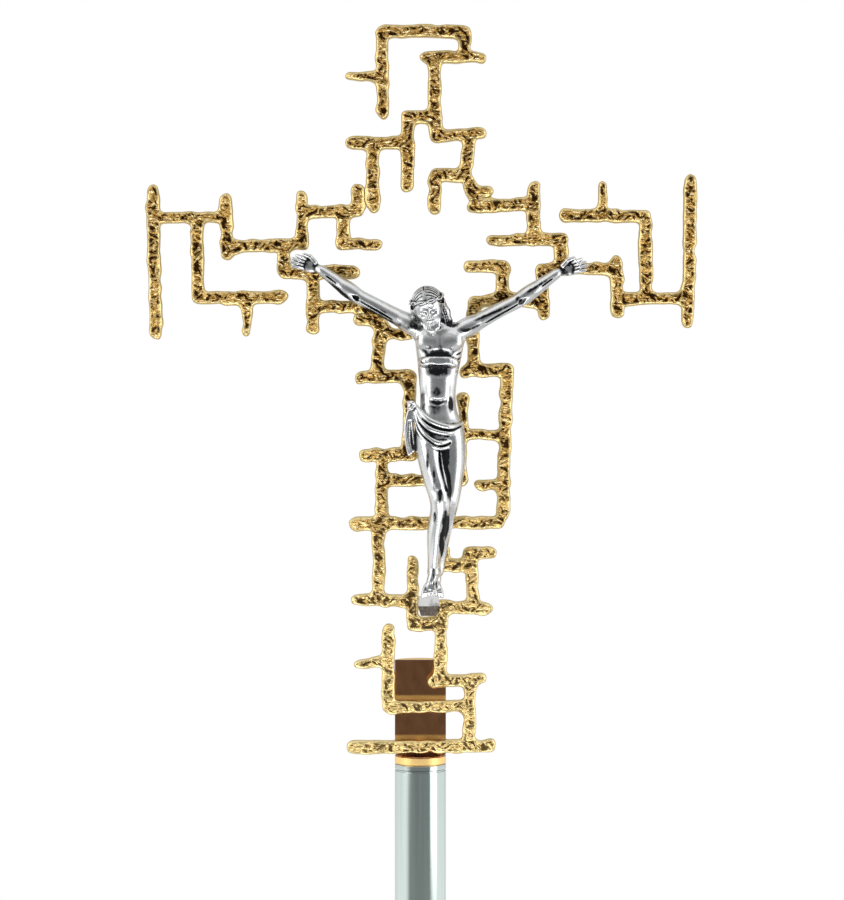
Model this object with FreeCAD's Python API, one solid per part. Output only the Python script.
"""Processional cross: an openwork cast head with a corpus, on a staff of three screwed tubes.

Millimetres. +Z runs up the staff, the corpus faces -Y, and the origin is the middle of the
staff's bottom face. The head's own heights are measured up from the underside of its flange.
"""
import FreeCAD, Part
import math
import os

from FreeCAD import Vector

os.makedirs("parts", exist_ok=True)

# ---------------------------------------------------------------- driving dimensions
STAFF_RADIUS = 16.0
TUBE_WALL = 1.5
SECTION_LENGTH = 500.0

PAD_HEIGHT = 6.0
PAD_STEM_RADIUS = 8.0
PAD_STEM_HEIGHT = 5.0
FITTING_FLANGE = 4.0
FITTING_DEPTH = 45.0

RING_HEIGHT = 3.4
RING_NECK_HEIGHT = 1.0
RING_NECK_RADIUS = 15.3
RING_BORE_RADIUS = 6.6
RING_BEVEL = 0.4

SCREW_RADIUS = 5.9
SCREW_CLEARANCE = 0.1
SCREW_ENGAGEMENT = 20.0
SCREW_TIP_CHAMFER = 1.0
SET_SCREW_RADIUS = 2.0
SET_SCREW_LENGTH = 6.0
SET_SCREW_DROP = 15.0
SET_SCREW_SINK = 0.2

TANG_FLANGE = 5.6
TANG_BEVEL = 0.7
TANG_TOP = 64.5
TANG_FLAT = 1.0
TANG_SPACER_RADIUS = 3.5
TANG_SCREW_HEIGHTS = (11.5, 36.5)
TANG_SCREW_RADIUS = 2.0
TANG_SCREW_HEAD_RADIUS = 3.6
TANG_SCREW_HEAD_HEIGHT = 2.4

CASTING_THICKNESS = 6.0
CASTING_MIDDLE = -10.0
CASTING_FRONT = CASTING_MIDDLE - CASTING_THICKNESS / 2
CASTING_BACK = CASTING_MIDDLE + CASTING_THICKNESS / 2
KNOB = 9.4
BAR = 8.0
SLIM = 6.6
THIN = 5.6
TIP = 4.4

NAIL_RADIUS = 0.8
NAIL_HEAD_RADIUS = 1.5
NAIL_HEAD_HEIGHT = 0.9
NAIL_BITE = 3.0

LIMB_POINTS = 16
CUTTING_BLOCK = 600.0

# ---------------------------------------------------------------- heights along the staff
TUBE_INNER_RADIUS = STAFF_RADIUS - TUBE_WALL
RING_STACK = RING_HEIGHT + RING_NECK_HEIGHT
LOWER_START = PAD_HEIGHT
LOWER_END = SECTION_LENGTH
MIDDLE_START = LOWER_END + RING_STACK
MIDDLE_END = MIDDLE_START + SECTION_LENGTH
UPPER_START = MIDDLE_END + RING_STACK
UPPER_END = UPPER_START + SECTION_LENGTH
HEAD_START = UPPER_END + RING_STACK

# ---------------------------------------------------------------- the castings' bars
# Each bar is (x, z, width) at one end and at the other, z measured up from the head's flange.
CROWN_BARS = [
    ((-24, 456, BAR), (27, 456, BAR)),
    ((-24, 456, BAR), (-23.5, 405.5, BAR)),
    ((-24, 428.5, BAR), (-45, 428, TIP)),
    ((27, 456, BAR), (28, 441, SLIM)),
    ((4, 440, BAR), (38, 440, SLIM)),
    ((8, 440, BAR), (10, 390, BAR)),
    ((10, 403, BAR), (-8, 403, BAR)),
    ((-8, 403, BAR), (-8, 360, BAR)),
    ((-8, 387, BAR), (-43, 387, BAR)),
    ((-30, 387, BAR), (-29, 347, BAR)),
    ((10, 391, BAR), (38, 393, SLIM)),
    ((30, 392, BAR), (28, 367, BAR)),
    ((28, 367, BAR), (9, 367, BAR)),
    ((9, 367, BAR), (9, 346, BAR)),
    ((28, 367, BAR), (33, 355.5, KNOB)),
    ((33, 356, BAR), (42.5, 356.5, SLIM)),
]
LEFT_ARM_BARS = [
    ((-166.5, 357, BAR), (-164.3, 268, BAR)),
    ((-165, 340, BAR), (-122, 341, SLIM)),
    ((-121, 351.5, BAR), (-120, 317.5, BAR)),
    ((-139, 340, BAR), (-138, 290, BAR)),
    ((-138, 290, BAR), (-86.5, 291, BAR)),
    ((-108, 289, BAR), (-108, 268, TIP)),
    ((-120, 322, BAR), (-73, 324, BAR)),
    ((-74, 354, SLIM), (-73, 324, BAR)),
    ((-73, 343.5, BAR), (-39, 344.5, BAR)),
    ((-39, 358, BAR), (-39, 345, BAR)),
    ((-47, 343, BAR), (-49, 324, BAR)),
    ((-49, 324, BAR), (-27, 324, SLIM)),
    ((-85, 323, BAR), (-85, 306, BAR)),
    ((-85, 306, BAR), (-41, 307, BAR)),
    ((-67, 306, BAR), (-67, 271.5, BAR)),
    ((-67, 285, BAR), (-33, 285, SLIM)),
]
RIGHT_ARM_BARS = [
    ((33, 347, BAR), (70, 349, BAR)),
    ((71, 359.5, BAR), (70, 326, BAR)),
    ((44, 326, SLIM), (88, 327, BAR)),
    ((88, 327, BAR), (87, 308, BAR)),
    ((75, 308, BAR), (122, 309, BAR)),
    ((75.5, 308, BAR), (76.5, 280.5, BAR)),
    ((122, 313, BAR), (122, 281.5, BAR)),
    ((122, 289.5, BAR), (166, 290.5, BAR)),
    ((140, 341, BAR), (140, 290, BAR)),
    ((91, 342, KNOB), (98, 342, BAR)),
    ((98, 342, BAR), (140, 341, BAR)),
    ((113, 360, SLIM), (113, 342, SLIM)),
    ((168, 363.5, BAR), (166, 275.5, BAR)),
    ((77, 287, BAR), (53, 291, BAR)),
    ((53, 291, BAR), (33, 287, BAR)),
    ((50.5, 291, BAR), (52, 310, BAR)),
    ((52, 310, BAR), (30, 310, SLIM)),
]
SHAFT_BARS = [
    ((-39, 277, SLIM), (-28, 276, BAR)),
    ((-33, 284, SLIM), (-21, 271, BAR)),
    ((-25, 275, BAR), (-27, 242, BAR)),
    ((-25, 268, BAR), (-6, 268, SLIM)),
    ((-37, 241, BAR), (-7, 242, BAR)),
    ((-6.6, 242, BAR), (-7.5, 193, BAR)),
    ((-35, 193, BAR), (-5, 193, BAR)),
    ((-24, 193, BAR), (-24, 151, BAR)),
    ((-24, 177, BAR), (26, 177, BAR)),
    ((26.3, 228, BAR), (26.6, 219, THIN)),
    ((26.6, 219, THIN), (26, 177, THIN)),
    ((28, 206, SLIM), (50, 205, SLIM)),
    ((54, 246, BAR), (51.2, 156.5, BAR)),
    ((28, 245, BAR), (54, 246, BAR)),
    ((33, 283, BAR), (33, 245, BAR)),
    ((-41, 150, BAR), (48.5, 151, BAR)),
    ((36.8, 174, BAR), (52, 175, SLIM)),
]
LOWER_SHAFT_BARS = [
    ((-26, 150, BAR), (-26, 103, BAR)),
    ((-39, 103, BAR), (-5, 102, BAR)),
    ((-5, 128, SLIM), (-5, 87, BAR)),
    ((-5, 87, BAR), (13, 89, BAR)),
    ((13, 99, BAR), (12, 53, BAR)),
    ((12, 99, BAR), (41, 97, BAR)),
    ((31, 132, BAR), (33, 98, BAR)),
    ((31, 132, BAR), (44, 132, BAR)),
    ((14, 124, BAR), (32, 125, BAR)),
    ((15, 134, SLIM), (14, 124, BAR)),
]
FOOT_BARS = [
    ((-19.6, 84, BAR), (-20, 36, BAR)),
    ((-20, 65, BAR), (-40, 62.5, TIP)),
    ((-20, 36, BAR), (30, 37, BAR)),
    ((31, 53, BAR), (30, 12, BAR)),
    ((8, 52, BAR), (38, 54, SLIM)),
    ((-42, 11, BAR), (43.6, 12, BAR)),
]

# ---------------------------------------------------------------- the corpus
# Each section is (x, y, z, half width, half depth): y from the castings' middle plane, z up from
# the head's flange.
TORSO_SECTIONS = [
    (12, -14, 198, 13.0, 8.0),
    (11, -15, 212, 14.6, 9.0),
    (11.5, -15, 220, 12.8, 8.4),
    (10.5, -15, 230, 11.4, 7.4),
    (10.5, -16, 240, 12.2, 8.0),
    (11, -17, 252, 13.8, 9.0),
    (11.5, -17, 264, 15.4, 8.8),
    (10.5, -16, 272, 14.0, 6.4),
    (9.5, -17, 277, 6.0, 5.0),
]
RIGHT_LEG_SECTIONS = [
    (4.5, -15, 206, 8.0, 8.0),
    (6.0, -18, 190, 7.6, 8.0),
    (9.5, -21, 176, 6.6, 6.8),
    (12.5, -23, 166, 5.6, 5.8),
    (12.0, -21, 154, 5.2, 5.4),
    (9.5, -17, 138, 4.2, 4.4),
    (8.0, -14, 125, 3.2, 3.6),
]
LEFT_LEG_SECTIONS = [
    (18.5, -13, 206, 7.4, 8.0),
    (19.5, -14, 190, 7.0, 7.2),
    (19.6, -15, 176, 6.2, 6.4),
    (19.0, -16, 166, 5.2, 5.6),
    (17.0, -14, 152, 4.8, 5.0),
    (13.0, -11, 138, 3.6, 4.2),
    (10.5, -9.5, 127, 3.0, 3.6),
]
FOOT_SECTIONS = [
    (8.0, -12, 127, 3.6, 5.6),
    (6.5, -14, 116, 5.0, 5.6),
    (5.5, -15, 109.5, 5.6, 3.4),
    (5.5, -16, 104.5, 4.6, 2.2),
]
LOINCLOTH_SECTIONS = [
    (12.5, -14, 194, 13.6, 9.2),
    (12, -15, 204, 14.8, 10.0),
    (11, -15.5, 213, 15.2, 10.0),
    (12, -15.5, 220, 13.6, 9.4),
]
RIGHT_ARM_SECTIONS = [
    (0, -16, 270.5, 5.2, 5.2),
    (-12, -14, 278, 4.7, 4.6),
    (-26, -12, 285, 4.2, 4.2),
    (-38, -10, 291, 4.2, 4.0),
    (-50, -8.5, 299, 3.8, 3.6),
    (-62, -7, 307.5, 2.7, 2.4),
]
LEFT_ARM_SECTIONS = [
    (22, -16, 269, 5.2, 5.2),
    (34, -14, 275, 4.7, 4.6),
    (48, -12, 282.5, 4.2, 4.2),
    (60, -10, 289, 4.2, 4.0),
    (72, -8.5, 297, 3.8, 3.6),
    (85, -7, 305.5, 2.7, 2.4),
]
RIGHT_HAND_SECTIONS = [
    (-61, -7, 307, 2.6, 2.4),
    (-68, -6, 311, 4.6, 2.4),
    (-76, -6, 313, 4.0, 2.0),
    (-82, -6.4, 314.5, 2.2, 1.4),
]
LEFT_HAND_SECTIONS = [
    (84, -7, 305, 2.6, 2.4),
    (91, -6, 308.5, 4.6, 2.4),
    (98, -6, 310.5, 4.0, 2.0),
    (104, -6.4, 312, 2.2, 1.4),
]
HEAD_CENTRE = (6.0, -21.0, 284.0)
HEAD_RADII = (8.6, 9.6, 12.2)
HEAD_LEAN = -12.0
HAIR_CENTRE = (5.6, -18.0, 284.0)
HAIR_RADII = (10.6, 9.6, 13.4)
RIGHT_PALM = (-68.0, 311.0)
LEFT_PALM = (91.0, 308.0)
INSTEP = (7.0, 112.0)
PALM_FRONT = -8.6
INSTEP_FRONT = -19.5
# The foot rest's outline from the side as (y, z) and from the front as (x, z).
REST_SIDE = [(0, 93), (-10, 94), (-14, 100), (0, 105.5)]
REST_FRONT = [(-1.5, 107), (-1.5, 100), (0.8, 92), (9.2, 92), (11.5, 100), (11.5, 107)]
REST_REACH = 20.0


def save(shape, node):
    """Write one piece of the cross to its own file."""
    shape.exportStep("parts/" + node + ".step")


def cylinder(radius, z0, z1, x=0.0, y=0.0):
    """An upright cylinder from z0 to z1."""
    return Part.makeCylinder(radius, z1 - z0, Vector(x, y, z0))


def along_y(radius, y0, y1, x, z):
    """A cylinder along +Y from y0 to y1."""
    return Part.makeCylinder(radius, y1 - y0, Vector(x, y0, z), Vector(0, 1, 0))


def in_front(shape):
    """Cut a shape back to the plane of the castings' front faces."""
    corner = Vector(-CUTTING_BLOCK / 2, CASTING_FRONT, HEAD_START)
    return shape.cut(Part.makeBox(CUTTING_BLOCK, CUTTING_BLOCK, CUTTING_BLOCK, corner))


def bevelled_disc(radius, z0, z1, bevel):
    """An upright disc with a bevel round both of its edges."""
    disc = cylinder(radius, z0, z1)
    return disc.makeChamfer(bevel, [edge for edge in disc.Edges if edge.isClosed()])


def face_through(points):
    """The flat face inside a closed row of points."""
    return Part.Face(Part.makePolygon(points + points[:1]))


# ---------------------------------------------------------------- staff
def tube(z0, z1):
    """A plain staff tube."""
    return cylinder(STAFF_RADIUS, z0, z1).cut(cylinder(TUBE_INNER_RADIUS, z0, z1))


def joint_ring(z0):
    """The loose ring between two sections: a narrow neck below, a full-width band above."""
    neck_top = z0 + RING_NECK_HEIGHT
    top = z0 + RING_STACK
    band = bevelled_disc(STAFF_RADIUS, neck_top, top, RING_BEVEL)
    ring = cylinder(RING_NECK_RADIUS, z0, neck_top).fuse(band)
    return ring.cut(cylinder(RING_BORE_RADIUS, z0, top)).removeSplitter()


def socket(top):
    """The tapped insert in the top of a tube, with a plain bore for its thread."""
    body = cylinder(TUBE_INNER_RADIUS, top - FITTING_DEPTH, top)
    bore_radius = SCREW_RADIUS + SCREW_CLEARANCE
    bore = cylinder(bore_radius, top - SCREW_ENGAGEMENT - 2 * RING_STACK, top)
    return body.cut(bore).cut(set_screws(top))


def set_screws(top):
    """The set screw at the back that holds an insert in its tube."""
    z = top - SET_SCREW_DROP
    tip = STAFF_RADIUS - SET_SCREW_LENGTH
    return along_y(SET_SCREW_RADIUS, tip, STAFF_RADIUS - SET_SCREW_SINK, 0, z)


def screw_stud(z0):
    """A plain cylinder in place of a threaded stud that hangs below z0."""
    tip = z0 - RING_STACK - SCREW_ENGAGEMENT
    chamfer_top = tip + SCREW_TIP_CHAMFER
    shank = cylinder(SCREW_RADIUS, chamfer_top, z0)
    point = Part.makeCone(SCREW_RADIUS - SCREW_TIP_CHAMFER, SCREW_RADIUS, SCREW_TIP_CHAMFER,
                          Vector(0, 0, tip))
    return shank.fuse(point)


def stud_plug(z0):
    """The turned plug in the foot of a tube, with its flange and its stud."""
    flange = cylinder(STAFF_RADIUS, z0, z0 + FITTING_FLANGE)
    spigot = cylinder(TUBE_INNER_RADIUS, z0, z0 + FITTING_DEPTH)
    return flange.fuse([spigot, screw_stud(z0)]).removeSplitter()


def foot_plug():
    """The plug in the staff's foot, hollowed for the stem of the rubber pad."""
    flange = cylinder(STAFF_RADIUS, PAD_HEIGHT, PAD_HEIGHT + FITTING_FLANGE)
    spigot = cylinder(TUBE_INNER_RADIUS, PAD_HEIGHT, PAD_HEIGHT + FITTING_DEPTH)
    recess = cylinder(PAD_STEM_RADIUS, PAD_HEIGHT, PAD_HEIGHT + PAD_STEM_HEIGHT)
    return flange.fuse(spigot).cut(recess).removeSplitter()


def rubber_pad():
    """The rubber pad that the staff stands on."""
    stem = cylinder(PAD_STEM_RADIUS, 0, PAD_HEIGHT + PAD_STEM_HEIGHT)
    return cylinder(STAFF_RADIUS, 0, PAD_HEIGHT).fuse(stem).removeSplitter()


def staff_section(name, tube_start, tube_end):
    """One tube with its tapped insert and set screw."""
    hole = set_screws(tube_end)
    save(tube(tube_start, tube_end).cut(hole), name + "_tube")
    save(socket(tube_end), name + "_socket")
    save(hole, name + "_set_screw")


def staff():
    """The three tubes from the ground up, with the rings between them."""
    save(rubber_pad(), "rubber_foot")
    save(foot_plug(), "foot_plug")
    staff_section("lower", LOWER_START + FITTING_FLANGE, LOWER_END)
    save(joint_ring(LOWER_END), "lower_joint_ring")
    save(stud_plug(MIDDLE_START), "middle_plug")
    staff_section("middle", MIDDLE_START + FITTING_FLANGE, MIDDLE_END)
    save(joint_ring(MIDDLE_END), "upper_joint_ring")
    save(stud_plug(UPPER_START), "upper_plug")
    staff_section("upper", UPPER_START + FITTING_FLANGE, UPPER_END)
    save(joint_ring(UPPER_END), "head_ring")


# ---------------------------------------------------------------- castings
def bar(start, end):
    """One flat bar with round ends, tapering between its two end widths."""
    x0, z0, width0 = start
    x1, z1, width1 = end
    a = Vector(x0, CASTING_FRONT, HEAD_START + z0)
    b = Vector(x1, CASTING_FRONT, HEAD_START + z1)
    across = (b - a).normalize().cross(Vector(0, 1, 0))
    side0 = across * (width0 / 2)
    side1 = across * (width1 / 2)
    face = face_through([a + side0, b + side1, b - side1, a - side0])
    thickness = Vector(0, CASTING_THICKNESS, 0)
    ends = [Part.makeCylinder(width / 2, CASTING_THICKNESS, centre, Vector(0, 1, 0))
            for centre, width in ((a, width0), (b, width1))]
    return face.extrude(thickness).fuse(ends)


def casting(bars):
    """One casting: its bars joined into a single flat solid."""
    pieces = [bar(start, end) for start, end in bars]
    return pieces[0].fuse(pieces[1:]).removeSplitter()


def castings(nails):
    """The six castings, each one ending where it meets the one brazed before it."""
    rows = [
        ("crown_casting", CROWN_BARS),
        ("left_arm_casting", LEFT_ARM_BARS),
        ("right_arm_casting", RIGHT_ARM_BARS),
        ("shaft_casting", SHAFT_BARS),
        ("lower_shaft_casting", LOWER_SHAFT_BARS),
        ("foot_casting", FOOT_BARS),
    ]
    made = []
    for node, bars in rows:
        shape = casting(bars)
        for earlier in made:
            shape = shape.cut(earlier)
        shape = max(shape.Solids, key=lambda solid: solid.Volume)
        made.append(shape)
        save(shape.cut(nails), node)


# ---------------------------------------------------------------- tang
def tang_screw(z):
    """A screw from behind the tang, through its spacer, to the back of a bar."""
    head_start = STAFF_RADIUS - TANG_SCREW_HEAD_HEIGHT
    shank = along_y(TANG_SCREW_RADIUS, CASTING_BACK, head_start, 0, HEAD_START + z)
    head = along_y(TANG_SCREW_HEAD_RADIUS, head_start, STAFF_RADIUS, 0, HEAD_START + z)
    return shank.fuse(head).removeSplitter()


def tang_spacer(z):
    """The round post between the tang's flat and a bar."""
    post = along_y(TANG_SPACER_RADIUS, CASTING_BACK, TANG_FLAT, 0, HEAD_START + z)
    return post.cut(along_y(TANG_SCREW_RADIUS, CASTING_BACK, TANG_FLAT, 0, HEAD_START + z))


def tang(screws):
    """The half-round tang, the flange under it and the stud below."""
    flange_top = HEAD_START + TANG_FLANGE
    flange = bevelled_disc(STAFF_RADIUS, HEAD_START, flange_top, TANG_BEVEL)
    rod = cylinder(STAFF_RADIUS, flange_top, HEAD_START + TANG_TOP)
    width = 4 * STAFF_RADIUS
    milled = Part.makeBox(width, width, TANG_TOP, Vector(-width / 2, TANG_FLAT - width, flange_top))
    return flange.fuse([rod.cut(milled), screw_stud(HEAD_START)]).removeSplitter().cut(screws)


def mounting():
    """The tang, and the two spacers and screws that hold the lattice in front of it."""
    screws = Part.makeCompound([tang_screw(z) for z in TANG_SCREW_HEIGHTS])
    save(screws, "tang_screws")
    save(Part.makeCompound([tang_spacer(z) for z in TANG_SCREW_HEIGHTS]), "tang_spacers")
    save(tang(screws), "tang")


# ---------------------------------------------------------------- corpus
def ring_wire(section, direction):
    """An ellipse about a limb's axis at one section."""
    x, y, z, half_width, half_depth = section
    centre = Vector(x, CASTING_MIDDLE + y, HEAD_START + z)
    across = Vector(0, 1, 0).cross(direction).normalize()
    forward = direction.cross(across).normalize()
    points = []
    for step in range(LIMB_POINTS):
        angle = 2 * math.pi * step / LIMB_POINTS
        points.append(centre + across * (half_width * math.cos(angle))
                      + forward * (half_depth * math.sin(angle)))
    curve = Part.BSplineCurve()
    curve.interpolate(points, PeriodicFlag=True)
    return Part.Wire(curve.toShape())


def limb(sections, upright=False):
    """A smooth solid through a row of ellipses."""
    wires = []
    for index, section in enumerate(sections):
        before = sections[max(index - 1, 0)]
        after = sections[min(index + 1, len(sections) - 1)]
        direction = Vector(after[0] - before[0], after[1] - before[1], after[2] - before[2])
        if upright:
            direction = Vector(0, 0, direction.z)
        wires.append(ring_wire(section, direction.normalize()))
    return Part.makeLoft(wires, True, False)


def ellipsoid(centre, radii, lean):
    """An ellipsoid that leans about the Y axis."""
    ball = Part.makeSphere(1.0)
    stretch = FreeCAD.Matrix()
    stretch.scale(Vector(*radii))
    shape = ball.transformGeometry(stretch)
    shape.rotate(Vector(0, 0, 0), Vector(0, 1, 0), lean)
    shape.translate(Vector(centre[0], CASTING_MIDDLE + centre[1], HEAD_START + centre[2]))
    return shape


def corpus_body():
    """Torso, head, legs and loincloth, cast in one."""
    torso = limb(TORSO_SECTIONS, upright=True)
    others = [
        ellipsoid(HEAD_CENTRE, HEAD_RADII, HEAD_LEAN),
        ellipsoid(HAIR_CENTRE, HAIR_RADII, HEAD_LEAN),
        limb(LOINCLOTH_SECTIONS, upright=True),
        limb(RIGHT_LEG_SECTIONS),
        limb(LEFT_LEG_SECTIONS),
        limb(FOOT_SECTIONS, upright=True),
    ]
    return in_front(torso.fuse(others))


def corpus_arm(arm_sections, hand_sections, body):
    """One arm with its hand, ending at the shoulder seam."""
    arm = limb(arm_sections).fuse(limb(hand_sections)).cut(body)
    return in_front(max(arm.Solids, key=lambda solid: solid.Volume))


def nail(place, front):
    """One nail: a domed head on a shank that bites into the bar behind."""
    x, z = place
    under_head = CASTING_MIDDLE + front
    tip = CASTING_FRONT + NAIL_BITE
    shank = along_y(NAIL_RADIUS, under_head, tip, x, HEAD_START + z)
    head = along_y(NAIL_HEAD_RADIUS, under_head - NAIL_HEAD_HEIGHT, under_head, x, HEAD_START + z)
    return shank.fuse(head).removeSplitter()


def foot_rest():
    """The wedge under the feet, standing out from the casting and narrowing downwards."""
    left = REST_FRONT[0][0]
    right = REST_FRONT[-1][0]
    side = [Vector(left, CASTING_FRONT + y, HEAD_START + z) for y, z in REST_SIDE]
    front = [Vector(x, CASTING_FRONT - REST_REACH, HEAD_START + z) for x, z in REST_FRONT]
    wedge = face_through(side).extrude(Vector(right - left, 0, 0))
    return wedge.common(face_through(front).extrude(Vector(0, REST_REACH, 0)))


def corpus():
    """The corpus, its nails and its foot rest. Returns the nails for the castings' holes."""
    hand_nails = Part.makeCompound([nail(palm, PALM_FRONT) for palm in (RIGHT_PALM, LEFT_PALM)])
    foot_nail = nail(INSTEP, INSTEP_FRONT)
    rest = foot_rest()
    body = corpus_body().cut(foot_nail).cut(rest)
    right = corpus_arm(RIGHT_ARM_SECTIONS, RIGHT_HAND_SECTIONS, body).cut(hand_nails)
    left = corpus_arm(LEFT_ARM_SECTIONS, LEFT_HAND_SECTIONS, body).cut(hand_nails)
    save(body, "corpus_body")
    save(right, "corpus_right_arm")
    save(left, "corpus_left_arm")
    save(rest, "foot_rest")
    save(hand_nails, "hand_nails")
    save(foot_nail, "foot_nail")
    return Part.makeCompound([hand_nails, foot_nail])


staff()
mounting()
castings(corpus())
